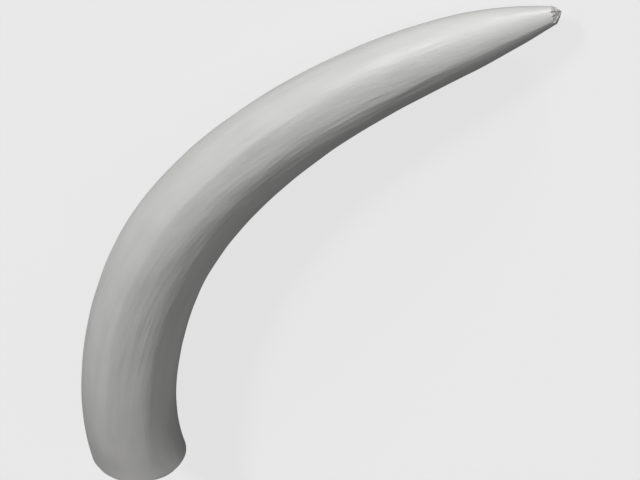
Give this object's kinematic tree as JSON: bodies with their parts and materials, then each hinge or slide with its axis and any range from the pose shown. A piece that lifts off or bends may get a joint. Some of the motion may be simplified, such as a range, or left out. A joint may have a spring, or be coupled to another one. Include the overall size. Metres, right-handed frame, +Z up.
{
  "type": "elephant tusk",
  "caption": "Bent, tapering elephant tusk of pale ivory, sawn flat across its hollow root and broken off ragged at the tip, lying on its side.",
  "frame": {"origin": "on the surface that the tusk lies on, under the middle of its bounding box", "axes": "+Z up from the surface, square to the two broad sides; +X the longest way, so that the tip points to +X and +Y; the sawn root faces -Y, and the hollow of the bend faces +X and -Y"},
  "size_m": [0.6136, 0.5748, 0.1152],
  "materials": {
    "ivory": "satin"
  },
  "bodies": {
    "root": {"tusk": "ivory"}
  },
  "joints": []
}
